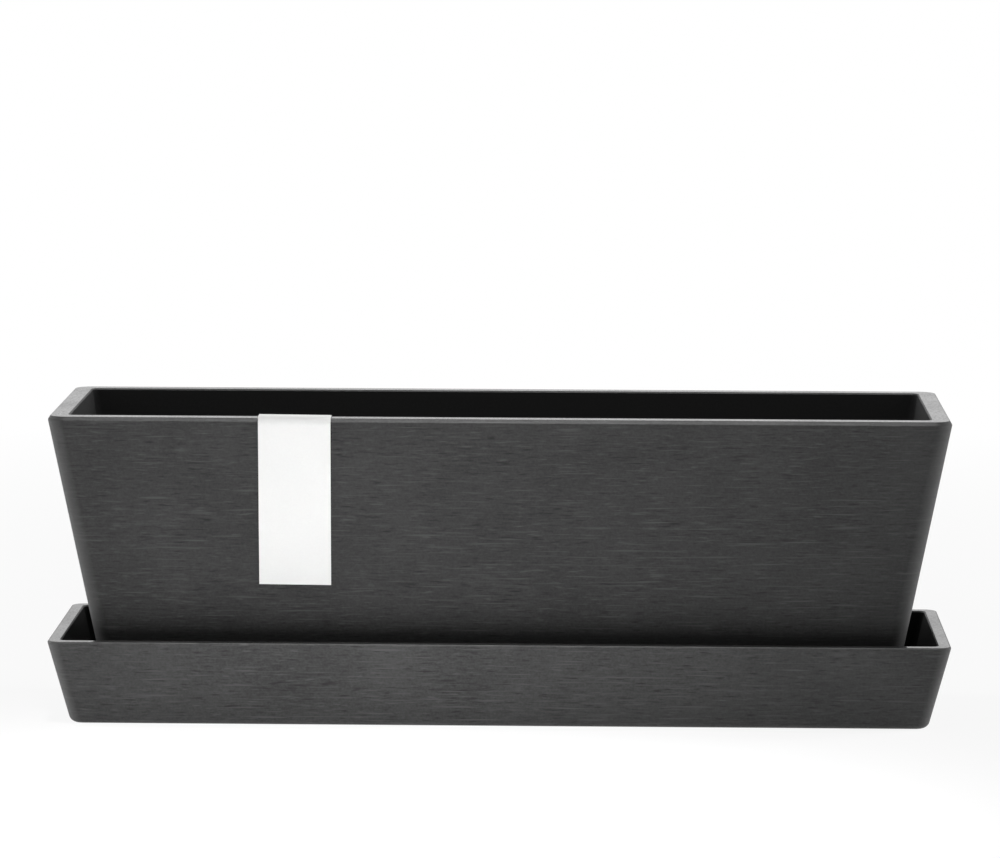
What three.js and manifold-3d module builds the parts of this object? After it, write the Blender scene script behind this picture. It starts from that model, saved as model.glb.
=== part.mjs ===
// Rectangular plant pot that stands in a matching saucer, with drain stoppers and a folded card label.
// Millimetres, +Z up, +X along the length, the front faces -Y.
// The origin is on the ground, under the middle of the saucer.

import * as THREE from 'three';
import { mergeVertices } from 'three/addons/utils/BufferGeometryUtils.js';
import Module from 'manifold-3d';

// Pot: outside sizes are at the rim. The walls lean out, the long ones a little more than the ends
const POT_LENGTH = 550;
const POT_DEPTH = 180;
const POT_HEIGHT = 185.4;
const POT_END_LEAN_DEG = 10.35;
const POT_SIDE_LEAN_DEG = 13;
const POT_RIM_WIDTH = 13;
const POT_LOWER_WALL = 8;
const POT_FLOOR = 8;
const POT_CORNER_RADIUS = 10.5;
const POT_INNER_CORNER_RADIUS = 4;
const POT_RIM_OUTER_RADIUS = 2.4;
const POT_RIM_INNER_RADIUS = 1.2;
const POT_BASE_EDGE_RADIUS = 6;
const POT_INNER_FLOOR_RADIUS = 4;

// Feet under the pot: two rows along the long walls
const FOOT_COLUMNS = 3;
const FOOT_LENGTH = 46;
const FOOT_WIDTH = 16;
const FOOT_HEIGHT = 4;
const FOOT_CORNER_RADIUS = 5;
const FOOT_SPREAD = 1;
const FOOT_ROOT = 3;
const FOOT_INSET = 10;

// Drain holes: each has a shallow round seat in the floor for its stopper
const DRAIN_SPACING = 150;
const DRAIN_DIAMETER = 18;
const DRAIN_SEAT_DEPTH = 2.5;
const DRAIN_NAMES = ['left', 'middle', 'right'];

// Rubber stoppers: the flange overlaps the edge of the hole all round
const PLUG_FLANGE_OVERLAP = 6;
const PLUG_FLANGE_THICKNESS = 3.5;
const PLUG_SHANK_BELOW_FLOOR = 2;
const PLUG_TIP_TAPER = 1;
const PLUG_EDGE_RADIUS = 1;
const PLUG_TAB_WIDTH = 15;
const PLUG_TAB_THICKNESS = 5;
const PLUG_TAB_HEIGHT = 10;
const PLUG_TAB_ROOT = 1;

// Saucer: its floor leaves this much room all round the base of the pot
const SAUCER_ROOM = 14.5;
const SAUCER_HEIGHT = 52.5;
const SAUCER_LEAN_DEG = 14.1;
const SAUCER_RIM_WIDTH = 8.2;
const SAUCER_FLOOR = 6;
const SAUCER_CORNER_RADIUS = 8;
const SAUCER_INNER_CORNER_RADIUS = 4;
const SAUCER_RIM_OUTER_RADIUS = 2.2;
const SAUCER_RIM_INNER_RADIUS = 1.2;
const SAUCER_BASE_EDGE_RADIUS = 5;
const SAUCER_INNER_FLOOR_RADIUS = 4;
const SAUCER_STANDING_RING = 14;
const SAUCER_UNDERSIDE_RECESS = 1.5;

// Card label, folded over the front rim
const LABEL_WIDTH = 44;
const LABEL_FRONT_DROP = 105;
const LABEL_BACK_DROP = 52;
const LABEL_THICKNESS = 0.45;
const LABEL_FROM_LEFT_END = 129;

// Clearances between pieces
const SEAT_GAP = 0.1;
const PLUG_CLEARANCE = 0.3;
const PLUG_SEAT_CLEARANCE = 0.5;
const LABEL_CLEARANCE = 0.25;

// Sharpest corner left where a round edge meets it, fineness of the round parts,
// and how far a cutting shape runs past the face it cuts
const SHARPEST_CORNER = 0.5;
const CORNER_STEPS = 8;
const EDGE_STEPS = 4;
const ROUND_STEPS = 36;
const CUT_PAST = 2;

const potEndTan = Math.tan(THREE.MathUtils.degToRad(POT_END_LEAN_DEG));
const potSideTan = Math.tan(THREE.MathUtils.degToRad(POT_SIDE_LEAN_DEG));
const saucerTan = Math.tan(THREE.MathUtils.degToRad(SAUCER_LEAN_DEG));
const potFloorTop = FOOT_HEIGHT + POT_FLOOR;
const potBaseLength = POT_LENGTH - 2 * potEndTan * (POT_HEIGHT - FOOT_HEIGHT);
const potBaseDepth = POT_DEPTH - 2 * potSideTan * (POT_HEIGHT - FOOT_HEIGHT);
const saucerSpread = saucerTan * (SAUCER_HEIGHT - SAUCER_FLOOR) + SAUCER_RIM_WIDTH;
const saucerLength = potBaseLength + 2 * (SAUCER_ROOM + saucerSpread);
const saucerDepth = potBaseDepth + 2 * (SAUCER_ROOM + saucerSpread);
const plugFlangeDiameter = DRAIN_DIAMETER + 2 * PLUG_FLANGE_OVERLAP;

const wasm = await Module();
wasm.setup();

// Turns a closed geometry into a solid that can be joined and cut.
function toSolid(geometry) {
  const bare = geometry.clone();
  bare.deleteAttribute('normal');
  bare.deleteAttribute('uv');
  const merged = mergeVertices(bare);
  const vertProperties = new Float32Array(merged.attributes.position.array);
  const triVerts = new Uint32Array(merged.index.array);
  return new wasm.Manifold(new wasm.Mesh({ numProp: 3, vertProperties, triVerts }));
}

// Turns a solid back into a geometry.
function toGeometry(solid) {
  const mesh = solid.getMesh();
  const geometry = new THREE.BufferGeometry();
  geometry.setAttribute('position', new THREE.BufferAttribute(new Float32Array(mesh.vertProperties), 3));
  geometry.setIndex(new THREE.BufferAttribute(new Uint32Array(mesh.triVerts), 1));
  geometry.computeVertexNormals();
  return geometry;
}

// Outline of a rectangle with round corners, anticlockwise, centred on the origin.
function roundedRectangle(length, depth, radius) {
  const x = length / 2 - radius;
  const y = depth / 2 - radius;
  const quarter = Math.PI / 2;
  const outline = new THREE.Path();
  outline.absarc(x, y, radius, 0, quarter);
  outline.absarc(-x, y, radius, quarter, 2 * quarter);
  outline.absarc(-x, -y, radius, 2 * quarter, 3 * quarter);
  outline.absarc(x, -y, radius, 3 * quarter, 4 * quarter);
  return outline.getPoints(CORNER_STEPS / 2);
}

// Closed solid through a stack of level outlines, each with its height, lowest first.
function loft(levels) {
  const count = levels[0].outline.length;
  const positions = [];
  for (const { z, outline } of levels) {
    for (const point of outline) positions.push(point.x, point.y, z);
  }
  const index = [];
  for (let level = 0; level + 1 < levels.length; level += 1) {
    for (let i = 0; i < count; i += 1) {
      const a = level * count + i;
      const b = level * count + (i + 1) % count;
      index.push(a, b, b + count, a, b + count, a + count);
    }
  }
  const top = (levels.length - 1) * count;
  for (let i = 1; i + 1 < count; i += 1) {
    index.push(0, i + 1, i);
    index.push(top, top + i, top + i + 1);
  }
  const geometry = new THREE.BufferGeometry();
  geometry.setAttribute('position', new THREE.Float32BufferAttribute(positions, 3));
  geometry.setIndex(index);
  return geometry;
}

// A tub's walls: level outlines that follow four leaning walls. Each step gives a height
// and how far the outline draws in there from the plain leaning wall.
function leaningLevels({ length, depth, radius, atZ, endTan, sideTan }, steps) {
  return steps.map(({ z, drawIn }) => {
    const levelLength = length + 2 * (endTan * (z - atZ) - drawIn);
    const levelDepth = depth + 2 * (sideTan * (z - atZ) - drawIn);
    const corner = Math.max(radius - drawIn, SHARPEST_CORNER);
    return { z, outline: roundedRectangle(levelLength, levelDepth, corner) };
  });
}

// Steps for the round edge between a level bottom and a wall that leans out above it.
function bottomEdgeSteps(z, radius, leanDeg) {
  const lean = THREE.MathUtils.degToRad(leanDeg);
  const tangent = radius / Math.tan((Math.PI / 2 + lean) / 2);
  const steps = [];
  for (let i = 0; i <= EDGE_STEPS; i += 1) {
    const angle = THREE.MathUtils.lerp(-Math.PI / 2, -lean, i / EDGE_STEPS);
    const rise = radius + radius * Math.sin(angle);
    const outward = -tangent + radius * Math.cos(angle);
    steps.push({ z: z + rise, drawIn: rise * Math.tan(lean) - outward });
  }
  return steps;
}

// Steps for the round edge between a wall and the level rim on top of it. The side is 1 where
// the outline draws in to the rim and -1 where it opens out to it.
function topEdgeSteps(z, radius, side) {
  const steps = [];
  for (let i = 0; i <= EDGE_STEPS; i += 1) {
    const angle = (Math.PI / 2) * (i / EDGE_STEPS);
    const drawIn = side * radius * (1 - Math.cos(angle));
    steps.push({ z: z - radius * (1 - Math.sin(angle)), drawIn });
  }
  return steps;
}

// Steps that cut a tub's hollow: round floor edge, wall, open rim edge and a run past the rim.
function hollowSteps(floorZ, rimZ, floorRadius, rimRadius, leanDeg) {
  const open = topEdgeSteps(rimZ, rimRadius, -1);
  const last = open[open.length - 1];
  const past = { z: rimZ + CUT_PAST, drawIn: last.drawIn };
  return [...bottomEdgeSteps(floorZ, floorRadius, leanDeg), ...open, past];
}

// One foot, standing on z = 0, a little wider at the top and rooted in the floor above it.
function footSolid(x, y) {
  const sole = roundedRectangle(FOOT_LENGTH, FOOT_WIDTH, FOOT_CORNER_RADIUS);
  const wide = 2 * FOOT_SPREAD;
  const root = roundedRectangle(FOOT_LENGTH + wide, FOOT_WIDTH + wide, FOOT_CORNER_RADIUS + FOOT_SPREAD);
  const geometry = loft([
    { z: 0, outline: sole },
    { z: FOOT_HEIGHT, outline: root },
    { z: FOOT_HEIGHT + FOOT_ROOT, outline: root },
  ]);
  geometry.translate(x, y, 0);
  return toSolid(geometry);
}

// Upright round cutter between two heights.
function uprightCylinder(diameter, fromZ, toZ, x) {
  const geometry = new THREE.CylinderGeometry(diameter / 2, diameter / 2, toZ - fromZ, ROUND_STEPS);
  geometry.rotateX(Math.PI / 2);
  geometry.translate(x, 0, (fromZ + toZ) / 2);
  return toSolid(geometry);
}

function drainX(i) {
  return (i - (DRAIN_NAMES.length - 1) / 2) * DRAIN_SPACING;
}

// The pot stands on its feet at z = 0.
function potGeometry() {
  const outerWalls = {
    length: POT_LENGTH,
    depth: POT_DEPTH,
    radius: POT_CORNER_RADIUS,
    atZ: POT_HEIGHT,
    endTan: potEndTan,
    sideTan: potSideTan,
  };
  const meanLeanDeg = (POT_END_LEAN_DEG + POT_SIDE_LEAN_DEG) / 2;
  let pot = toSolid(loft(leaningLevels(outerWalls, [
    ...bottomEdgeSteps(FOOT_HEIGHT, POT_BASE_EDGE_RADIUS, meanLeanDeg),
    ...topEdgeSteps(POT_HEIGHT, POT_RIM_OUTER_RADIUS, 1),
  ])));

  const columnStep = (potBaseLength - FOOT_LENGTH - 2 * FOOT_INSET) / (FOOT_COLUMNS - 1);
  const rowY = potBaseDepth / 2 - FOOT_INSET - FOOT_WIDTH / 2;
  for (let column = 0; column < FOOT_COLUMNS; column += 1) {
    const x = (column - (FOOT_COLUMNS - 1) / 2) * columnStep;
    pot = pot.add(footSolid(x, -rowY)).add(footSolid(x, rowY));
  }

  // The wall thins towards the floor, so the inside leans a little less than the outside.
  const thinning = (POT_RIM_WIDTH - POT_LOWER_WALL) / (POT_HEIGHT - potFloorTop);
  const innerMeanTan = (potEndTan + potSideTan) / 2 - thinning;
  const innerLeanDeg = THREE.MathUtils.radToDeg(Math.atan(innerMeanTan));
  const innerWalls = {
    length: POT_LENGTH - 2 * POT_RIM_WIDTH,
    depth: POT_DEPTH - 2 * POT_RIM_WIDTH,
    radius: POT_INNER_CORNER_RADIUS,
    atZ: POT_HEIGHT,
    endTan: potEndTan - thinning,
    sideTan: potSideTan - thinning,
  };
  const hollow = toSolid(loft(leaningLevels(innerWalls, hollowSteps(
    potFloorTop,
    POT_HEIGHT,
    POT_INNER_FLOOR_RADIUS,
    POT_RIM_INNER_RADIUS,
    innerLeanDeg,
  ))));
  pot = pot.subtract(hollow);

  const seatDiameter = plugFlangeDiameter + 2 * PLUG_SEAT_CLEARANCE;
  const cutTop = potFloorTop + CUT_PAST;
  for (let i = 0; i < DRAIN_NAMES.length; i += 1) {
    const hole = uprightCylinder(DRAIN_DIAMETER, FOOT_HEIGHT - CUT_PAST, cutTop, drainX(i));
    const seat = uprightCylinder(seatDiameter, potFloorTop - DRAIN_SEAT_DEPTH, cutTop, drainX(i));
    pot = pot.subtract(hole).subtract(seat);
  }
  return toGeometry(pot);
}

// A stopper with the underside of its flange at z = 0.
function plugGeometry() {
  const shankRadius = DRAIN_DIAMETER / 2 - PLUG_CLEARANCE;
  const shankLength = POT_FLOOR - DRAIN_SEAT_DEPTH + PLUG_SHANK_BELOW_FLOOR;
  const flangeRadius = plugFlangeDiameter / 2;
  const profile = new THREE.Path();
  profile.moveTo(0, -shankLength);
  profile.lineTo(shankRadius - PLUG_TIP_TAPER, -shankLength);
  profile.lineTo(shankRadius, 0);
  profile.lineTo(flangeRadius, 0);
  const edgeX = flangeRadius - PLUG_EDGE_RADIUS;
  const edgeZ = PLUG_FLANGE_THICKNESS - PLUG_EDGE_RADIUS;
  profile.absarc(edgeX, edgeZ, PLUG_EDGE_RADIUS, 0, Math.PI / 2);
  profile.lineTo(0, PLUG_FLANGE_THICKNESS);
  const body = new THREE.LatheGeometry(profile.getPoints(EDGE_STEPS / 2), ROUND_STEPS);
  body.rotateX(Math.PI / 2);

  const tabTop = PLUG_TAB_HEIGHT - PLUG_TAB_WIDTH / 2;
  const tabOutline = new THREE.Shape();
  tabOutline.moveTo(-PLUG_TAB_WIDTH / 2, -PLUG_TAB_ROOT);
  tabOutline.lineTo(PLUG_TAB_WIDTH / 2, -PLUG_TAB_ROOT);
  tabOutline.absarc(0, tabTop, PLUG_TAB_WIDTH / 2, 0, Math.PI);
  const tab = new THREE.ExtrudeGeometry(tabOutline, {
    depth: PLUG_TAB_THICKNESS,
    bevelEnabled: false,
    curveSegments: CORNER_STEPS,
  });
  tab.translate(0, 0, -PLUG_TAB_THICKNESS / 2);
  tab.rotateX(Math.PI / 2);
  tab.translate(0, 0, PLUG_FLANGE_THICKNESS);
  return toGeometry(toSolid(body).add(toSolid(tab)));
}

// The saucer stands on a ring round its underside at z = 0.
function saucerGeometry() {
  const outerWalls = {
    length: saucerLength,
    depth: saucerDepth,
    radius: SAUCER_CORNER_RADIUS,
    atZ: SAUCER_HEIGHT,
    endTan: saucerTan,
    sideTan: saucerTan,
  };
  const outer = toSolid(loft(leaningLevels(outerWalls, [
    ...bottomEdgeSteps(0, SAUCER_BASE_EDGE_RADIUS, SAUCER_LEAN_DEG),
    ...topEdgeSteps(SAUCER_HEIGHT, SAUCER_RIM_OUTER_RADIUS, 1),
  ])));

  const innerWalls = {
    length: saucerLength - 2 * SAUCER_RIM_WIDTH,
    depth: saucerDepth - 2 * SAUCER_RIM_WIDTH,
    radius: SAUCER_INNER_CORNER_RADIUS,
    atZ: SAUCER_HEIGHT,
    endTan: saucerTan,
    sideTan: saucerTan,
  };
  const hollow = toSolid(loft(leaningLevels(innerWalls, hollowSteps(
    SAUCER_FLOOR,
    SAUCER_HEIGHT,
    SAUCER_INNER_FLOOR_RADIUS,
    SAUCER_RIM_INNER_RADIUS,
    SAUCER_LEAN_DEG,
  ))));

  const ringDrawIn = 2 * (saucerTan * SAUCER_HEIGHT + SAUCER_STANDING_RING);
  const panel = roundedRectangle(saucerLength - ringDrawIn, saucerDepth - ringDrawIn, SAUCER_CORNER_RADIUS);
  const recess = toSolid(loft([
    { z: -CUT_PAST, outline: panel },
    { z: SAUCER_UNDERSIDE_RECESS, outline: panel },
  ]));
  return toGeometry(outer.subtract(hollow).subtract(recess));
}

// The label's cross-section runs up the front wall, over the rim and down inside. Its two hanging
// sides are parallel, so that it lifts off along the slope of the wall.
function labelGeometry() {
  const lean = THREE.MathUtils.degToRad(POT_SIDE_LEAN_DEG);
  const rimY = -POT_DEPTH / 2;
  const section = (offset) => {
    const topZ = POT_HEIGHT + offset;
    const sideways = offset / Math.cos(lean);
    const at = (y, z) => new THREE.Vector2(y + (POT_HEIGHT - z) * potSideTan, z);
    const frontY = rimY - sideways;
    const backY = rimY + POT_RIM_WIDTH + sideways;
    return [
      at(frontY, POT_HEIGHT - LABEL_FRONT_DROP),
      at(frontY, topZ),
      at(backY, topZ),
      at(backY, POT_HEIGHT - LABEL_BACK_DROP),
    ];
  };
  const inner = section(LABEL_CLEARANCE);
  const outer = section(LABEL_CLEARANCE + LABEL_THICKNESS);
  const outline = new THREE.Shape([...outer, ...inner.reverse()]);
  const geometry = new THREE.ExtrudeGeometry(outline, { depth: LABEL_WIDTH, bevelEnabled: false });
  geometry.translate(0, 0, -LABEL_WIDTH / 2);
  geometry.rotateY(Math.PI / 2);
  geometry.rotateX(Math.PI / 2);
  geometry.translate(-POT_LENGTH / 2 + LABEL_FROM_LEFT_END + LABEL_WIDTH / 2, 0, 0);
  return geometry;
}

const mouldedPlastic = new THREE.MeshStandardMaterial({ color: 0x3f4042, roughness: 0.55, metalness: 0 });
const blackRubber = new THREE.MeshStandardMaterial({ color: 0x1b1b1c, roughness: 0.8, metalness: 0 });
const whiteCard = new THREE.MeshStandardMaterial({ color: 0xf4f4f2, roughness: 0.7, metalness: 0 });

function namedMesh(name, geometry, material) {
  const mesh = new THREE.Mesh(geometry, material);
  mesh.name = name;
  return mesh;
}

const saucer = namedMesh('saucer', saucerGeometry(), mouldedPlastic);
const pot = new THREE.Group();
pot.position.z = SAUCER_FLOOR + SEAT_GAP;
pot.add(namedMesh('pot_shell', potGeometry(), mouldedPlastic));
DRAIN_NAMES.forEach((name, i) => {
  const plug = namedMesh(`drain_plug_${name}`, plugGeometry(), blackRubber);
  plug.position.set(drainX(i), 0, potFloorTop - DRAIN_SEAT_DEPTH + SEAT_GAP);
  pot.add(plug);
});
pot.add(namedMesh('rim_label', labelGeometry(), whiteCard));

const plantPot = new THREE.Group();
plantPot.add(saucer, pot);

export default plantPot;
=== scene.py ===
# Rectangular plant pot in its saucer, with three drain stoppers and a card label folded over the rim.
# Metres, +Z up, +X along the length. The front faces -Y and the saucer stands on z = 0.

import math

import bmesh
import bpy
from mathutils import Matrix, Vector


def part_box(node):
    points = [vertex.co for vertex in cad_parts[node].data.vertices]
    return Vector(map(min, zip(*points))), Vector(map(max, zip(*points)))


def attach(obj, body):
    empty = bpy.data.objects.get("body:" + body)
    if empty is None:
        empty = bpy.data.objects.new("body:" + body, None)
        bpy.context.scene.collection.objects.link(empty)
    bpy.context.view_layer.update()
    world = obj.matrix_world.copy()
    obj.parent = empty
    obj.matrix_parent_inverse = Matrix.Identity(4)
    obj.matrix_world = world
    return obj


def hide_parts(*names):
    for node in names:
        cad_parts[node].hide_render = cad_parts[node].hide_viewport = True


MM = 0.001

# Pot and saucer: two tubs with leaning walls, a level rim and round edges
POT_WALLS = {
    "end_lean": math.radians(10.35),
    "side_lean": math.radians(13),
    "rim_width": 13 * MM,
    "lower_wall": 8 * MM,
    "floor": 8 * MM,
    "corner_radius": 10.5 * MM,
    "inner_radius": 4 * MM,
    "rim_solid_edge": 2.4 * MM,
    "rim_outer_edge": 0.6 * MM,
    "rim_band": 2.4 * MM,
    "rim_inner_edge": 1.2 * MM,
    "base_edge": 6 * MM,
}
SAUCER_WALLS = {
    "end_lean": math.radians(14.1),
    "side_lean": math.radians(14.1),
    "rim_width": 8.2 * MM,
    "lower_wall": 8.2 * MM,
    "floor": 6 * MM,
    "corner_radius": 8 * MM,
    "inner_radius": 4 * MM,
    "rim_solid_edge": 2.2 * MM,
    "rim_outer_edge": 1.2 * MM,
    "rim_band": 0,
    "rim_inner_edge": 1.2 * MM,
    "base_edge": 5 * MM,
}
CORNER_SEGMENTS = 10
EDGE_SEGMENTS = 5

# Narrow band round the top of the pot, which leans back above the wall
RIM_BAND_LEAN = math.radians(30)
RIM_BAND_FOOT = 1.2 * MM

# Feet moulded under the pot, in two rows
FOOT_HEIGHT = 4 * MM
FOOT_LENGTH = 46 * MM
FOOT_WIDTH = 16 * MM
FOOT_CORNER = 5 * MM
FOOT_SOLE_EDGE = 0.8 * MM
FOOT_INSET = 10 * MM
FOOT_ROOT = 3 * MM
FOOT_COLUMNS = 3

# Drain holes through the floor of the pot, each with a round seat
DRAIN_RADIUS = 9 * MM
DRAIN_SEAT_RADIUS = 15.5 * MM
DRAIN_SEAT_DEPTH = 2.5 * MM
DRAIN_CHAMFER = 0.6 * MM
CUT_PAST = 2 * MM
ROUND_SIDES = 64

# Recessed panel under the saucer, inside the ring that it stands on
STANDING_RING = 14 * MM
PANEL_RECESS = 1.5 * MM

# Rubber stoppers
PLUG_SHANK_RADIUS = 8.7 * MM
PLUG_SHANK_LENGTH = 7.5 * MM
PLUG_TIP_TAPER = 1 * MM
PLUG_RIB = 0.2 * MM
PLUG_RIB_SHARES = (0.35, 0.6)
PLUG_FLANGE_RADIUS = 15 * MM
PLUG_FLANGE = 3.5 * MM
PLUG_EDGE = 0.9 * MM
PLUG_DISH = 0.6 * MM
PLUG_DISH_RIM = 2 * MM
PLUG_TAB_WIDTH = 15 * MM
PLUG_TAB_THICKNESS = 5 * MM
PLUG_TAB_HEIGHT = 10 * MM
PLUG_TAB_TOP_RADIUS = 7.2 * MM
PLUG_TAB_EDGE = 1.2 * MM

# Card label: its front panel, its bend over the rim and the flap inside the pot
LABEL_THICKNESS = 0.45 * MM
LABEL_FRONT_DROP = 104.8 * MM
LABEL_BACK_DROP = 52 * MM
LABEL_GAP_BELOW = 0.3 * MM
LABEL_GAP_AT_RIM = 0.95 * MM
LABEL_RISE = 0.7 * MM
LABEL_FRONT_BEND = 4.2 * MM
LABEL_BACK_BEND = 2.5 * MM
LABEL_BEND_STEPS = 8
LABEL_TURN = math.radians(-0.45)
LABEL_EDGE = 0.12 * MM
LABEL_EDGE_SEGMENTS = 2
LABEL_EDGE_ANGLE = math.radians(60)

# How edges are rounded and shaded, and how close two heights or places count as the same
ROUND_PROFILE = 0.5
SMOOTH_ANGLE = math.radians(35)
SQUARE = math.pi / 2
SAME_PLACE = 0.05 * MM

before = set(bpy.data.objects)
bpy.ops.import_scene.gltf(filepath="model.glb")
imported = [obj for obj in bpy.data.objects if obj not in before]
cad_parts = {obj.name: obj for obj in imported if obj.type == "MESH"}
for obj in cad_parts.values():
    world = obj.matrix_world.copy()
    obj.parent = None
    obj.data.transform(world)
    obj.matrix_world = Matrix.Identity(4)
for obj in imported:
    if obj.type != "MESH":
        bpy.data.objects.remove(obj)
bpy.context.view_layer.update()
bpy.ops.object.select_all(action="DESELECT")


def select_only(piece):
    bpy.ops.object.select_all(action="DESELECT")
    piece.select_set(True)
    bpy.context.view_layer.objects.active = piece


def start_editing(piece):
    select_only(piece)
    bpy.ops.object.mode_set(mode="EDIT")


def stop_editing():
    bpy.ops.object.mode_set(mode="OBJECT")


def settle(name):
    """Names the new piece and moves its place, turn and size into its mesh."""
    bpy.ops.object.transform_apply(location=True, rotation=True, scale=True)
    piece = bpy.context.object
    piece.name = name
    piece.data.name = name
    return piece


def add_block(name, low, high):
    bpy.ops.mesh.primitive_cube_add(size=1, location=(low + high) / 2, scale=high - low)
    return settle(name)


def select_edges(piece, wanted):
    """In edit mode, selects the edges whose two ends the test accepts."""
    bpy.ops.mesh.select_mode(type="EDGE")
    bpy.ops.mesh.select_all(action="DESELECT")
    mesh = bmesh.from_edit_mesh(piece.data)
    for edge in mesh.edges:
        if wanted(edge.verts[0].co, edge.verts[1].co):
            edge.select_set(True)
    bmesh.update_edit_mesh(piece.data)


def select_faces(piece, wanted):
    """In edit mode, selects the faces whose middle and normal the test accepts."""
    bpy.ops.mesh.select_mode(type="FACE")
    bpy.ops.mesh.select_all(action="DESELECT")
    mesh = bmesh.from_edit_mesh(piece.data)
    for face in mesh.faces:
        if wanted(face.calc_center_median(), face.normal):
            face.select_set(True)
    bmesh.update_edit_mesh(piece.data)


def round_edges(radius, angle, segments):
    """Rounds the selected edges, between faces that meet at that angle."""
    offset = radius / math.tan(angle / 2)
    bpy.ops.mesh.bevel(offset=offset, segments=segments, profile=ROUND_PROFILE)


def extrude(move):
    bpy.ops.mesh.extrude_region_move(TRANSFORM_OT_translate={"value": move})


def scale_about(value, centre):
    bpy.ops.transform.resize(value=value, center_override=centre)


def join_pieces(name, pieces):
    select_only(pieces[0])
    for piece in pieces:
        piece.select_set(True)
    bpy.ops.object.join()
    joined = bpy.context.object
    joined.name = name
    joined.data.name = name
    return joined


def combine(piece, tool, operation):
    """Joins a tool shape to a piece, or cuts it out, and removes the tool."""
    select_only(piece)
    modifier = piece.modifiers.new(operation.lower(), "BOOLEAN")
    modifier.operation = operation
    modifier.solver = "EXACT"
    modifier.object = tool
    bpy.ops.object.modifier_apply(modifier=modifier.name)
    bpy.data.objects.remove(tool)


def face_outwards(piece):
    start_editing(piece)
    bpy.ops.mesh.select_all(action="SELECT")
    bpy.ops.mesh.normals_make_consistent(inside=False)
    stop_editing()


def finish_surface(piece):
    """Smooth over the round edges, and flat on the faces between them."""
    select_only(piece)
    bpy.ops.object.shade_smooth_by_angle(angle=SMOOTH_ANGLE)
    modifier = piece.modifiers.new("face_normals", "WEIGHTED_NORMAL")
    modifier.keep_sharp = True
    bpy.ops.object.modifier_apply(modifier=modifier.name)


def near(a, b):
    return abs(a - b) < SAME_PLACE


def both_at(a, b, z):
    return near(a.z, z) and near(b.z, z)


def upright(a, b):
    return not near(a.z, b.z)


def drawn_in(half_size, by):
    return half_size - Vector((by, by))


def wall_slopes(walls):
    """How far the end walls and the long walls lean out, for each unit of height."""
    return Vector((math.tan(walls["end_lean"]), math.tan(walls["side_lean"])))


def mean_lean(walls):
    return (walls["end_lean"] + walls["side_lean"]) / 2


# The corner where a tub's plain walls would meet its rim. The solid's box touches the walls just
# below the rim's round edge, so this corner is a little outside it.
def rim_corner(node, walls):
    low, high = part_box(node)
    past = wall_slopes(walls) * walls["rim_solid_edge"]
    return high + past.to_3d()


# One skin of a tub, open at the top: a block that is drawn in at the bottom, with round corners.
def model_skin(name, top, top_z, bottom, bottom_z, radius, rounded):
    skin = add_block(name, Vector((-top.x, -top.y, bottom_z)), Vector((top.x, top.y, top_z)))
    start_editing(skin)
    select_faces(skin, lambda centre, normal: near(centre.z, bottom_z))
    scale_about((bottom.x / top.x, bottom.y / top.y, 1), (0, 0, bottom_z))
    select_edges(skin, rounded)
    round_edges(radius, SQUARE, CORNER_SEGMENTS)
    select_faces(skin, lambda centre, normal: near(centre.z, top_z))
    bpy.ops.mesh.delete(type="ONLY_FACE")
    stop_editing()
    return skin


# The band at the top of an outer skin, drawn in so that it leans back, with a soft edge below it.
def draw_in_band(skin, rim, rim_z, walls):
    band = walls["rim_band"]
    lean = mean_lean(walls)
    lip = drawn_in(rim, band * (math.tan(lean) + math.tan(RIM_BAND_LEAN)))
    start_editing(skin)
    bpy.ops.mesh.select_all(action="SELECT")
    bpy.ops.mesh.bisect(plane_co=(0, 0, rim_z - band), plane_no=(0, 0, 1))
    select_edges(skin, lambda a, b: both_at(a, b, rim_z))
    scale_about((lip.x / rim.x, lip.y / rim.y, 1), (0, 0, rim_z))
    select_edges(skin, lambda a, b: both_at(a, b, rim_z - band))
    round_edges(RIM_BAND_FOOT, math.pi - lean - RIM_BAND_LEAN, EDGE_SEGMENTS)
    stop_editing()


# A tub that is centred on the origin: an outer and an inner skin, bridged by the level rim.
def model_tub(name, corner, base_z, walls):
    slopes = wall_slopes(walls)
    lean = mean_lean(walls)
    rim = corner.xy
    rim_z = corner.z
    floor_z = base_z + walls["floor"]
    base = rim - slopes * (rim_z - base_z)
    mouth = drawn_in(rim, walls["rim_width"])
    floor = drawn_in(rim - slopes * (rim_z - floor_z), walls["lower_wall"])
    middle = drawn_in(rim, walls["rim_width"] / 2)

    def outside(point):
        return abs(point.x) > middle.x or abs(point.y) > middle.y

    def on_outer_rim(a, b):
        return both_at(a, b, rim_z) and outside(a) and outside(b)

    def on_inner_rim(a, b):
        return both_at(a, b, rim_z) and not outside(a) and not outside(b)

    outer = model_skin("outer_skin", rim, rim_z, base, base_z, walls["corner_radius"], upright)
    if walls["rim_band"]:
        draw_in_band(outer, rim, rim_z, walls)
    inner = model_skin(
        "inner_skin", mouth, rim_z, floor, floor_z, walls["inner_radius"],
        lambda a, b: not both_at(a, b, rim_z),
    )
    start_editing(inner)
    bpy.ops.mesh.select_all(action="SELECT")
    bpy.ops.mesh.flip_normals()
    stop_editing()
    tub = join_pieces(name, [outer, inner])
    start_editing(tub)
    select_edges(tub, lambda a, b: both_at(a, b, rim_z))
    bpy.ops.mesh.bridge_edge_loops()

    # Round edges at the base and on both sides of the rim
    select_edges(tub, lambda a, b: both_at(a, b, base_z))
    round_edges(walls["base_edge"], SQUARE + lean, EDGE_SEGMENTS)
    select_edges(tub, on_outer_rim)
    leans_back = RIM_BAND_LEAN if walls["rim_band"] else -lean
    round_edges(walls["rim_outer_edge"], SQUARE + leans_back, EDGE_SEGMENTS)
    select_edges(tub, on_inner_rim)
    round_edges(walls["rim_inner_edge"], SQUARE + lean, EDGE_SEGMENTS)
    stop_editing()
    return tub


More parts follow.
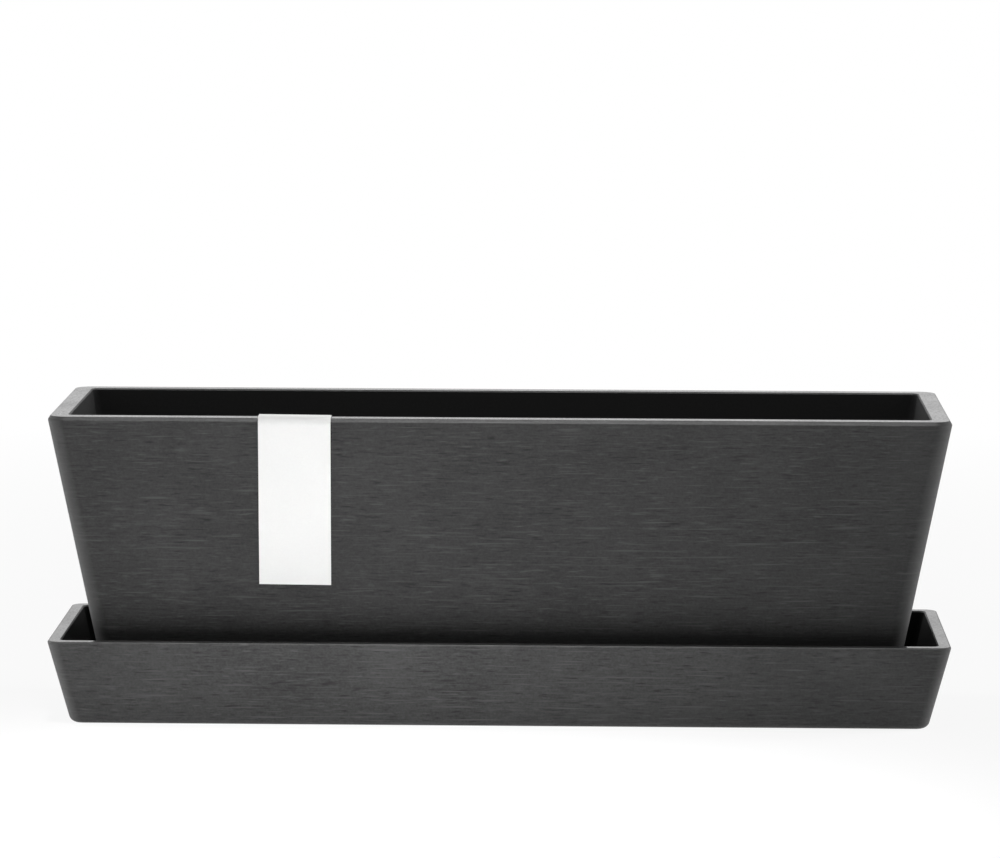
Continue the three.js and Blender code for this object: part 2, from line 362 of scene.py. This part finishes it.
# One foot, a pad with round corners that is rooted in the floor of the pot.
def model_foot(x, y, ground):
    half = Vector((FOOT_LENGTH / 2, FOOT_WIDTH / 2, 0))
    centre = Vector((x, y, ground))
    foot = add_block("foot", centre - half, centre + half + Vector((0, 0, FOOT_HEIGHT + FOOT_ROOT)))
    start_editing(foot)
    select_edges(foot, upright)
    round_edges(FOOT_CORNER, SQUARE, EDGE_SEGMENTS)
    select_edges(foot, lambda a, b: both_at(a, b, ground))
    round_edges(FOOT_SOLE_EDGE, SQUARE, EDGE_SEGMENTS)
    stop_editing()
    return foot


# A round shape built up from a disc: each step gives the next radius and height.
def model_round(name, axis, steps):
    radius, z = steps[0]
    bpy.ops.mesh.primitive_circle_add(
        vertices=ROUND_SIDES, radius=radius, fill_type="NGON", location=axis + Vector((0, 0, z))
    )
    shape = settle(name)
    start_editing(shape)
    bpy.ops.mesh.select_all(action="SELECT")
    for next_radius, next_z in steps[1:]:
        extrude((0, 0, next_z - z))
        ratio = next_radius / radius
        scale_about((ratio, ratio, 1), axis + Vector((0, 0, next_z)))
        radius, z = next_radius, next_z
    stop_editing()
    face_outwards(shape)
    return shape


# Cutter for one drain hole, with the seat above it and a chamfer at each open edge.
def model_drain_cutter(axis, base_z, floor_z):
    seat_z = floor_z - DRAIN_SEAT_DEPTH
    widening = DRAIN_CHAMFER + CUT_PAST
    return model_round("drain_cutter", axis, [
        (DRAIN_RADIUS + widening, base_z - CUT_PAST),
        (DRAIN_RADIUS, base_z + DRAIN_CHAMFER),
        (DRAIN_RADIUS, seat_z),
        (DRAIN_SEAT_RADIUS, seat_z),
        (DRAIN_SEAT_RADIUS, floor_z - DRAIN_CHAMFER),
        (DRAIN_SEAT_RADIUS + widening, floor_z + CUT_PAST),
    ])


def plug_names():
    return sorted(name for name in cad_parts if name.startswith("drain_plug"))


def upright_axis(node):
    """The foot, at z = 0, of the upright line through the middle of a node."""
    low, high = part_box(node)
    return Vector(((low.x + high.x) / 2, (low.y + high.y) / 2, 0))


def pot_base_z():
    """The height of the pot's underside, on top of its feet."""
    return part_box("pot_shell")[0].z + FOOT_HEIGHT


def saucer_base_z():
    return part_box("saucer")[0].z


def model_pot():
    corner = rim_corner("pot_shell", POT_WALLS)
    base_z = pot_base_z()
    pot = model_tub("planting_pot", corner, base_z, POT_WALLS)

    base = corner.xy - wall_slopes(POT_WALLS) * (corner.z - base_z)
    row_y = base.y - FOOT_INSET - FOOT_WIDTH / 2
    last_x = base.x - FOOT_INSET - FOOT_LENGTH / 2
    feet = []
    for column in range(FOOT_COLUMNS):
        x = last_x * (2 * column / (FOOT_COLUMNS - 1) - 1)
        for y in (-row_y, row_y):
            feet.append(model_foot(x, y, base_z - FOOT_HEIGHT))
    combine(pot, join_pieces("feet", feet), "UNION")

    floor_z = base_z + POT_WALLS["floor"]
    cutters = [model_drain_cutter(upright_axis(node), base_z, floor_z) for node in plug_names()]
    combine(pot, join_pieces("drain_cutters", cutters), "DIFFERENCE")
    finish_surface(pot)
    return pot


def model_saucer():
    corner = rim_corner("saucer", SAUCER_WALLS)
    base_z = saucer_base_z()
    saucer = model_tub("saucer_tray", corner, base_z, SAUCER_WALLS)

    base = corner.xy - wall_slopes(SAUCER_WALLS) * (corner.z - base_z)
    ring = drawn_in(base, STANDING_RING)
    panel_low = Vector((-ring.x, -ring.y, base_z - CUT_PAST))
    panel_high = Vector((ring.x, ring.y, base_z + PANEL_RECESS))
    panel = add_block("panel_cutter", panel_low, panel_high)
    start_editing(panel)
    select_edges(panel, upright)
    round_edges(SAUCER_WALLS["corner_radius"], SQUARE, CORNER_SEGMENTS)
    stop_editing()
    combine(saucer, panel, "DIFFERENCE")
    finish_surface(saucer)
    return saucer


# A stopper: a tapered shank with sealing ribs, a dished flange and a tab to pull it by.
def model_stopper(node):
    axis = upright_axis(node)
    tip_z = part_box(node)[0].z
    flange_z = tip_z + PLUG_SHANK_LENGTH
    top_z = flange_z + PLUG_FLANGE
    dish_radius = PLUG_FLANGE_RADIUS - PLUG_DISH_RIM

    def shank(share):
        return PLUG_SHANK_RADIUS - PLUG_TIP_TAPER * (1 - share)

    steps = [(shank(0) - PLUG_EDGE, tip_z), (shank(0), tip_z + PLUG_EDGE)]
    for share in PLUG_RIB_SHARES:
        z = tip_z + share * PLUG_SHANK_LENGTH
        steps += [
            (shank(share), z - 2 * PLUG_RIB),
            (shank(share) + PLUG_RIB, z - PLUG_RIB / 2),
            (shank(share) + PLUG_RIB, z + PLUG_RIB / 2),
            (shank(share), z + 2 * PLUG_RIB),
        ]
    steps += [(shank(1), flange_z), (PLUG_FLANGE_RADIUS - PLUG_EDGE / 2, flange_z)]
    for step in range(EDGE_SEGMENTS + 1):
        angle = SQUARE * step / EDGE_SEGMENTS
        radius = PLUG_FLANGE_RADIUS - PLUG_EDGE * (1 - math.cos(angle))
        steps.append((radius, top_z - PLUG_EDGE * (1 - math.sin(angle))))
    steps += [
        (dish_radius, top_z),
        (dish_radius - PLUG_DISH, top_z - PLUG_DISH),
    ]
    stopper = model_round(node.replace("drain_plug", "stopper"), axis, steps)

    half = Vector((PLUG_TAB_WIDTH / 2, PLUG_TAB_THICKNESS / 2, 0))
    tab_low = axis - half + Vector((0, 0, flange_z + PLUG_EDGE))
    tab_high = axis + half + Vector((0, 0, top_z + PLUG_TAB_HEIGHT))
    tab = add_block("pull_tab", tab_low, tab_high)
    start_editing(tab)
    select_edges(tab, lambda a, b: both_at(a, b, tab_high.z) and near(a.x, b.x))
    round_edges(PLUG_TAB_TOP_RADIUS, SQUARE, CORNER_SEGMENTS)
    select_edges(tab, lambda a, b: near(a.y, b.y) and not both_at(a, b, tab_low.z))
    round_edges(PLUG_TAB_EDGE, SQUARE, EDGE_SEGMENTS)
    stop_editing()
    combine(stopper, tab, "UNION")
    finish_surface(stopper)
    return stopper


# A path through corner points, with each inner corner rounded to its radius.
def rounded_path(corners, radii):
    path = [corners[0]]
    for before, corner, after, radius in zip(corners, corners[1:], corners[2:], radii):
        back = (before - corner).normalized()
        onward = (after - corner).normalized()
        half = back.angle(onward) / 2
        middle = corner + (back + onward).normalized() * (radius / math.sin(half))
        start = corner + back * (radius / math.tan(half)) - middle
        sweep = math.pi - 2 * half
        side = back.cross(onward).normalized()
        for step in range(LABEL_BEND_STEPS + 1):
            turn = Matrix.Rotation(-sweep * step / LABEL_BEND_STEPS, 3, side)
            path.append(middle + turn @ start)
    return path + [corners[-1]]


# The label's path from the front panel's lower edge, over the rim, to the end of the flap inside.
def label_path(rim_y, rim_z):
    tan = math.tan(POT_WALLS["side_lean"])
    slant = 1 / math.cos(POT_WALLS["side_lean"])
    half = LABEL_THICKNESS / 2
    top_z = rim_z + LABEL_RISE + half
    front_y = rim_y - (LABEL_GAP_AT_RIM + half) * slant
    low_front_y = rim_y - (LABEL_GAP_BELOW + half) * slant + tan * LABEL_FRONT_DROP
    back_y = rim_y + POT_WALLS["rim_width"] + (LABEL_GAP_BELOW + half) * slant
    low_back_y = back_y + tan * (LABEL_BACK_DROP + LABEL_RISE)
    corners = [
        Vector((0, low_front_y, rim_z - LABEL_FRONT_DROP)),
        Vector((0, front_y - tan * LABEL_RISE, top_z)),
        Vector((0, back_y, top_z)),
        Vector((0, low_back_y, rim_z - LABEL_BACK_DROP)),
    ]
    return rounded_path(corners, [LABEL_FRONT_BEND, LABEL_BACK_BEND])


def model_label():
    low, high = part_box("rim_label")
    corner = rim_corner("pot_shell", POT_WALLS)
    path = label_path(-corner.y, corner.z)
    across = Vector(((low.x + high.x) / 2, 0, 0))
    panel = path[1] - path[0]
    lean = math.atan2(panel.z, panel.y)
    middle = across + (path[0] + path[1]) / 2
    bpy.ops.mesh.primitive_plane_add(size=1, location=middle, rotation=(lean, 0, 0))
    bpy.context.object.scale = (high.x - low.x, panel.length, 1)
    label = settle("hanging_label")
    start_editing(label)
    select_edges(label, lambda a, b: both_at(a, b, path[1].z))
    for here, there in zip(path[1:], path[2:]):
        extrude(there - here)
    bpy.ops.mesh.select_all(action="SELECT")
    bpy.ops.transform.rotate(
        value=LABEL_TURN, orient_axis="Y", orient_type="GLOBAL", center_override=across + path[1]
    )
    stop_editing()

    select_only(label)
    card = label.modifiers.new("card", "SOLIDIFY")
    card.thickness = LABEL_THICKNESS
    card.offset = 0
    card.use_even_offset = True
    bpy.ops.object.modifier_apply(modifier=card.name)
    cut_edge = label.modifiers.new("cut_edge", "BEVEL")
    cut_edge.width = LABEL_EDGE
    cut_edge.segments = LABEL_EDGE_SEGMENTS
    cut_edge.angle_limit = LABEL_EDGE_ANGLE
    bpy.ops.object.modifier_apply(modifier=cut_edge.name)
    face_outwards(label)
    finish_surface(label)
    return label


def linear(hex_colour):
    """A colour given as sRGB hex digits, turned to linear light with full alpha."""
    channels = [int(hex_colour[i:i + 2], 16) / 255 for i in (1, 3, 5)]
    return [c / 12.92 if c <= 0.04045 else ((c + 0.055) / 1.055) ** 2.4 for c in channels] + [1]


def add_node(tree, kind, inputs=None, **settings):
    """Adds a node with its settings; an input is a value, or the output that it is linked to."""
    node = tree.nodes.new(kind)
    for name, value in settings.items():
        setattr(node, name, value)
    for name, value in (inputs or {}).items():
        if isinstance(value, bpy.types.NodeSocket):
            tree.links.new(value, node.inputs[name])
        else:
            node.inputs[name].default_value = value
    return node


# The Mix node's sockets: two numbers, two colours, and the mixed colour that comes out
FIRST_NUMBER = 2
SECOND_NUMBER = 3
FIRST_COLOUR = 6
SECOND_COLOUR = 7
MIXED_COLOUR = 2


def new_material(name):
    material = bpy.data.materials.new(name)
    material.use_nodes = True
    material.node_tree.nodes.clear()
    return material, material.node_tree


def per_metre(size_mm):
    """Pattern scale whose features are about that large."""
    return 1 / (size_mm * MM)


# Recycled plastic filled with stone powder, moulded and then brushed along the outer walls: dark and
# satin, with short light and dark scratches, a few long ones, fine grit and faint clouds. The round
# corners get a lighter colour, a painted highlight that stands in for the side light they catch. The rim
# is smoother, so it shines where it is seen at a low angle. The real marks are finer, and are drawn as
# coarse as they need to be to show.
SCRATCH_LENGTH_MM = 3.5
SCRATCH_HEIGHT_MM = 1.7
LINE_LENGTH_MM = 10
LINE_HEIGHT_MM = 1.2
SCORE_LENGTH_MM = 28
SCORE_HEIGHT_MM = 1.1
GRIT_MM = 1.3
CLOUD_MM = 45
SCRATCH_DETAIL = 2
LINE_DETAIL = 1
SCORE_DETAIL = 0
GRIT_DETAIL = 2
CLOUD_DETAIL = 1
MARK_BREAKUP = 0.55
NO_LINE = 0.5
GRIT_SHARE = 0.58
CLOUD_SHARE = 0.3
TONE_RANGE = (0.35, 0.65)
LIGHT_LINES = (0.6, 0.8)
DARK_LINES = (0.42, 0.22)
SCORE_LINES = (0.66, 0.84)
LEVEL_SLOPE = (0.96, 0.99)
CORNER_FACING = (0.08, 0.45)
PAINTED_HIGHLIGHT_SHARE = 0.6
LEVEL_ROUGHNESS = (0.27, 0.1)
WALL_ROUGHNESS = (0.55, 0.48)
BRUSH_BUMP = 0.15
BRUSH_DEPTH = 0.1 * MM
STONE_PLASTIC_IOR = 1.4


def brushed_stone_plastic(name, dark, light, line_dark, line_light, worn):
    material, tree = new_material(name)
    coordinates = add_node(tree, "ShaderNodeTexCoord").outputs
    place = coordinates["Object"]
    normal = coordinates["Normal"]

    def noise(scale, detail):
        stretched = add_node(tree, "ShaderNodeMapping", {"Vector": place, "Scale": scale})
        return add_node(tree, "ShaderNodeTexNoise", {
            "Vector": stretched.outputs[0], "Scale": 1.0,
            "Detail": detail, "Roughness": MARK_BREAKUP,
        }).outputs["Fac"]

    def brushed(length_mm, height_mm, detail):
        along = per_metre(length_mm)
        return noise((along, along, per_metre(height_mm)), detail)

    def mix(share, first, second):
        return add_node(tree, "ShaderNodeMix", {
            "Factor": share, FIRST_NUMBER: first, SECOND_NUMBER: second,
        }).outputs[0]

    def ramp(value, start, end):
        return add_node(tree, "ShaderNodeMapRange", {
            "Value": value, "From Min": start, "From Max": end,
        }).outputs[0]

    def mix_colour(share, first, second):
        return add_node(tree, "ShaderNodeMix", {
            "Factor": share, FIRST_COLOUR: first, SECOND_COLOUR: second,
        }, data_type="RGBA").outputs[MIXED_COLOUR]

    # Level faces by their slope, and round corners by facing the end and the side at once
    facing = add_node(tree, "ShaderNodeSeparateXYZ", {0: normal}).outputs
    slope = add_node(tree, "ShaderNodeMath", {0: facing["Z"]}, operation="ABSOLUTE").outputs[0]
    level = ramp(slope, *LEVEL_SLOPE)
    both_ways = add_node(tree, "ShaderNodeMath", {
        0: facing["X"], 1: facing["Y"],
    }, operation="MULTIPLY").outputs[0]
    both_ways = add_node(tree, "ShaderNodeMath", {0: both_ways}, operation="ABSOLUTE").outputs[0]
    # Painted highlight: the round corners are mixed towards a lighter colour, standing in for the side
    # light they catch
    corner_painted_highlight = mix(ramp(both_ways, *CORNER_FACING), 0.0, PAINTED_HIGHLIGHT_SHARE)

    scratches = brushed(SCRATCH_LENGTH_MM, SCRATCH_HEIGHT_MM, SCRATCH_DETAIL)
    lines = mix(level, brushed(LINE_LENGTH_MM, LINE_HEIGHT_MM, LINE_DETAIL), NO_LINE)
    scores = mix(level, brushed(SCORE_LENGTH_MM, SCORE_HEIGHT_MM, SCORE_DETAIL), NO_LINE)
    grit = noise((per_metre(GRIT_MM),) * 3, GRIT_DETAIL)
    clouds = noise((per_metre(CLOUD_MM),) * 3, CLOUD_DETAIL)
    marks = mix(GRIT_SHARE, mix(level, scratches, grit), grit)
    tone = ramp(mix(CLOUD_SHARE, marks, clouds), *TONE_RANGE)
    colour = mix_colour(tone, linear(dark), linear(light))
    colour = mix_colour(ramp(lines, *LIGHT_LINES), colour, linear(line_light))
    colour = mix_colour(ramp(lines, *DARK_LINES), colour, linear(line_dark))
    colour = mix_colour(ramp(scores, *SCORE_LINES), colour, linear(line_light))
    colour = mix_colour(corner_painted_highlight, colour, linear(worn))
    roughness = mix(level, mix(tone, *WALL_ROUGHNESS), mix(tone, *LEVEL_ROUGHNESS))
    bump = add_node(tree, "ShaderNodeBump", {
        "Height": marks, "Strength": BRUSH_BUMP, "Distance": BRUSH_DEPTH,
    }).outputs[0]
    surface = add_node(tree, "ShaderNodeBsdfPrincipled", {
        "Base Color": colour, "Roughness": roughness, "IOR": STONE_PLASTIC_IOR, "Normal": bump,
    })
    add_node(tree, "ShaderNodeOutputMaterial", {"Surface": surface.outputs[0]})
    return material


# How the even grains of the plainer finishes break up, and how strongly they show as relief
GRAIN_DETAIL = 4
GRAIN_BREAKUP = 0.6
GRAIN_BUMP = 0.2
PLAIN_SPECULAR = 0.5


def grained(name, grain_mm, depth, dark, light, roughness, ior, specular=PLAIN_SPECULAR):
    """A finish with one even grain, which varies its colour, its gloss and its height."""
    material, tree = new_material(name)
    place = add_node(tree, "ShaderNodeTexCoord").outputs["Object"]
    grain = add_node(tree, "ShaderNodeTexNoise", {
        "Vector": place, "Scale": per_metre(grain_mm),
        "Detail": GRAIN_DETAIL, "Roughness": GRAIN_BREAKUP,
    }).outputs["Fac"]
    colour = add_node(tree, "ShaderNodeMix", {
        "Factor": grain, FIRST_COLOUR: linear(dark), SECOND_COLOUR: linear(light),
    }, data_type="RGBA").outputs[MIXED_COLOUR]
    gloss = add_node(tree, "ShaderNodeMapRange", {
        "Value": grain, "To Min": roughness[0], "To Max": roughness[1],
    }).outputs[0]
    bump = add_node(tree, "ShaderNodeBump", {
        "Height": grain, "Strength": GRAIN_BUMP, "Distance": depth,
    }).outputs[0]
    surface = add_node(tree, "ShaderNodeBsdfPrincipled", {
        "Base Color": colour, "Roughness": gloss, "IOR": ior, "Specular IOR Level": specular,
        "Normal": bump,
    })
    add_node(tree, "ShaderNodeOutputMaterial", {"Surface": surface.outputs[0]})
    return material


# The same plastic as it left the mould, on the insides: dark and very dull, with a coarse grain. The
# saucer's lining is near black: painted shade, standing in for the deep shade in the gap round the pot.
MOULD_GRAIN_MM = 1.5
MOULD_GRAIN_DEPTH = 0.08 * MM
MOULD_ROUGHNESS = (0.75, 0.9)
MOULD_SPECULAR = 0.15


def moulded_stone_plastic(name, dark, light):
    return grained(
        name, MOULD_GRAIN_MM, MOULD_GRAIN_DEPTH, dark, light, MOULD_ROUGHNESS, STONE_PLASTIC_IOR,
        MOULD_SPECULAR,
    )


# Moulded black rubber: almost black and dull, with an even grain that is drawn coarse enough to show.
RUBBER_GRAIN_MM = 0.5
RUBBER_GRAIN_DEPTH = 0.05 * MM
RUBBER_ROUGHNESS = (0.55, 0.75)
RUBBER_IOR = 1.52


def moulded_rubber(dark, light):
    return grained(
        "moulded_rubber", RUBBER_GRAIN_MM, RUBBER_GRAIN_DEPTH, dark, light, RUBBER_ROUGHNESS, RUBBER_IOR
    )


# White uncoated card: smooth and dull, with faint fibres that are drawn coarse enough to show.
CARD_FIBRE_MM = 1.2
CARD_FIBRE_DEPTH = 0.03 * MM
CARD_ROUGHNESS = (0.6, 0.65)
CARD_IOR = 1.45


def white_card(dark, light):
    return grained(
        "white_card", CARD_FIBRE_MM, CARD_FIBRE_DEPTH, dark, light, CARD_ROUGHNESS, CARD_IOR
    )


def dress(piece, material, body, slot, *nodes):
    """Gives a piece its material and body, in the place of the plain solids that it stands for."""
    piece.data.materials.clear()
    piece.data.materials.append(material)
    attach(piece, body)
    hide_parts(*nodes)


def line_inside(tub, node, base_z, walls, material):
    """Gives the inner walls and the floor of a tub the finish of an inside."""
    corner = rim_corner(node, walls)
    inside_slot = len(tub.data.materials)
    tub.data.materials.append(material)
    for face in tub.data.polygons:
        x, y, z = face.center
        half = drawn_in(corner.xy - wall_slopes(walls) * (corner.z - z), walls["lower_wall"] / 2)
        above_floor = z > base_z + walls["floor"] / 2
        below_rim = z < corner.z - walls["rim_inner_edge"]
        if abs(x) < half.x and abs(y) < half.y and above_floor and below_rim:
            face.material_index = inside_slot


# Camera of the photograph
LENS_MM = 193.6
SENSOR_WIDTH_MM = 36
CAMERA_PLACE = (0.06628, -3.32185, 0.55193)
CAMERA_TURN = math.radians(1.164)
CAMERA_DOWN = math.radians(6.4595)
CAMERA_ROLL = math.radians(0.2453)
CAMERA_REACH = 200


def photo_camera():
    data = bpy.data.cameras.new("photo_camera")
    data.sensor_fit = "HORIZONTAL"
    data.sensor_width = SENSOR_WIDTH_MM
    data.lens = LENS_MM
    data.clip_end = CAMERA_REACH
    camera = bpy.data.objects.new("photo_camera", data)
    bpy.context.scene.collection.objects.link(camera)
    turn = Matrix.Rotation(CAMERA_TURN, 4, "Z")
    tilt = Matrix.Rotation(SQUARE - CAMERA_DOWN, 4, "X")
    roll = Matrix.Rotation(CAMERA_ROLL, 4, "Z")
    camera.matrix_world = Matrix.Translation(CAMERA_PLACE) @ turn @ tilt @ roll
    bpy.context.scene.camera = camera


# Studio: a white floor that fades into white surroundings. The front is lit by a bright patch of that
# floor, the ends by a soft lamp on each side, and one more lamp gives the shine on the rim.
FLOOR_RADIUS = 60
FLOOR_SIDES = 128
FLOOR_WHITE = "#F3F3F3"
FLOOR_GLOW_NEAR = 0.88
FLOOR_FADE_FROM = 0.5
FLOOR_FADE_TO = 1.6
SKY_LIGHT = 0.05
WHITE = (1, 1, 1, 1)
FLOOR_LAMP = {
    "place": (-0.1, -0.75, 1.75),
    "target": (-0.09, -0.43, 0),
    "size": 0.25,
    "spread": math.radians(26),
    "watts": 3.3,
}
SHINE_LAMP = {
    "place": (0, -1.2, 1.7),
    "target": (0, -0.08, 0.15),
    "size": 0.6,
    "spread": math.radians(60),
    "watts": 4,
    "shine": True,
}
LEFT_LAMP = {
    "place": (-1.5, 0.3, 0.5),
    "target": (-0.28, -0.08, 0.12),
    "size": 0.8,
    "spread": math.radians(180),
    "watts": 22,
}
RIGHT_LAMP = LEFT_LAMP | {"place": (1.5, 0.3, 0.5), "target": (0.28, -0.08, 0.12)}


def white_when_seen(tree):
    """1 for camera, glossy and transmission rays, which see the white studio, and 0 for the rest."""
    path = add_node(tree, "ShaderNodeLightPath").outputs
    seen = add_node(tree, "ShaderNodeMath", {
        0: path["Is Camera Ray"], 1: path["Is Glossy Ray"],
    }, operation="MAXIMUM").outputs[0]
    return add_node(tree, "ShaderNodeMath", {
        0: seen, 1: path["Is Transmission Ray"],
    }, operation="MAXIMUM").outputs[0]


def studio_floor():
    bpy.ops.mesh.primitive_circle_add(vertices=FLOOR_SIDES, radius=FLOOR_RADIUS, fill_type="NGON")
    floor = settle("studio_floor")
    material, tree = new_material("studio_floor")
    place = add_node(tree, "ShaderNodeTexCoord").outputs["Object"]
    distance = add_node(tree, "ShaderNodeVectorMath", {0: place}, operation="LENGTH").outputs["Value"]
    glow_share = add_node(tree, "ShaderNodeMapRange", {
        "Value": distance, "From Min": FLOOR_FADE_FROM, "From Max": FLOOR_FADE_TO,
        "To Min": FLOOR_GLOW_NEAR, "To Max": 1.0,
    }).outputs[0]
    share = add_node(tree, "ShaderNodeMath", {
        0: white_when_seen(tree), 1: glow_share,
    }, operation="MULTIPLY").outputs[0]
    lit = add_node(tree, "ShaderNodeBsdfDiffuse", {"Color": linear(FLOOR_WHITE)})
    glow = add_node(tree, "ShaderNodeEmission", {"Color": WHITE, "Strength": 1.0})
    mixed = add_node(tree, "ShaderNodeMixShader", {0: share, 1: lit.outputs[0], 2: glow.outputs[0]})
    add_node(tree, "ShaderNodeOutputMaterial", {"Surface": mixed.outputs[0]})
    floor.data.materials.append(material)


def studio_world():
    world = bpy.data.worlds.new("studio")
    world.use_nodes = True
    tree = world.node_tree
    tree.nodes.clear()
    strength = add_node(tree, "ShaderNodeMapRange", {
        "Value": white_when_seen(tree), "To Min": SKY_LIGHT, "To Max": 1.0,
    }).outputs[0]
    sky = add_node(tree, "ShaderNodeBackground", {"Color": WHITE, "Strength": strength})
    add_node(tree, "ShaderNodeOutputWorld", {"Surface": sky.outputs[0]})
    bpy.context.scene.world = world


def add_lamp(name, place, target, size, spread, watts, shine=False):
    """A lamp for the matt light of surfaces, or one that only shows as their shine."""
    data = bpy.data.lights.new(name, "AREA")
    data.shape = "SQUARE"
    data.size = size
    data.spread = spread
    data.energy = watts
    lamp = bpy.data.objects.new(name, data)
    bpy.context.scene.collection.objects.link(lamp)
    lamp.visible_diffuse = not shine
    lamp.visible_glossy = shine
    lamp.location = place
    lamp.rotation_euler = (Vector(target) - Vector(place)).to_track_quat("-Z", "Y").to_euler()


pot_plastic = brushed_stone_plastic(
    "brushed_plastic_dark",
    dark="#222222", light="#343434", line_dark="#131313", line_light="#3F3F3F", worn="#525252",
)
# Painted light: the saucer's copy of the pot's plastic is made lighter, standing in for the brighter
# light that falls on the saucer
saucer_plastic_painted_lighter = brushed_stone_plastic(
    "brushed_plastic",
    dark="#2F2F2F", light="#454545", line_dark="#1F1F1F", line_light="#4F4F4F", worn="#5F5F5F",
)
pot_lining = moulded_stone_plastic("moulded_plastic_dark", dark="#242424", light="#303030")
# Painted shade: the saucer's lining is near black, far darker than its plastic, for the shade in the gap
# round the pot
saucer_lining_painted_shade = moulded_stone_plastic("moulded_plastic", dark="#0C0C0C", light="#161616")
rubber = moulded_rubber(dark="#131314", light="#222223")
card = white_card(dark="#EDEDEC", light="#F3F3F2")

saucer = model_saucer()
dress(saucer, saucer_plastic_painted_lighter, "saucer", "moulded_plastic", "saucer")
line_inside(saucer, "saucer", saucer_base_z(), SAUCER_WALLS, saucer_lining_painted_shade)
pot = model_pot()
dress(pot, pot_plastic, "pot", "moulded_plastic", "pot_shell")
line_inside(pot, "pot_shell", pot_base_z(), POT_WALLS, pot_lining)
for plug in plug_names():
    dress(model_stopper(plug), rubber, plug.replace("drain_", ""), "black_rubber", plug)
dress(model_label(), card, "label", "white_card", "rim_label")

photo_camera()
studio_floor()
studio_world()
add_lamp("floor_lamp", **FLOOR_LAMP)
add_lamp("shine_lamp", **SHINE_LAMP)
add_lamp("left_lamp", **LEFT_LAMP)
add_lamp("right_lamp", **RIGHT_LAMP)

bpy.context.scene.view_settings.view_transform = "Standard"
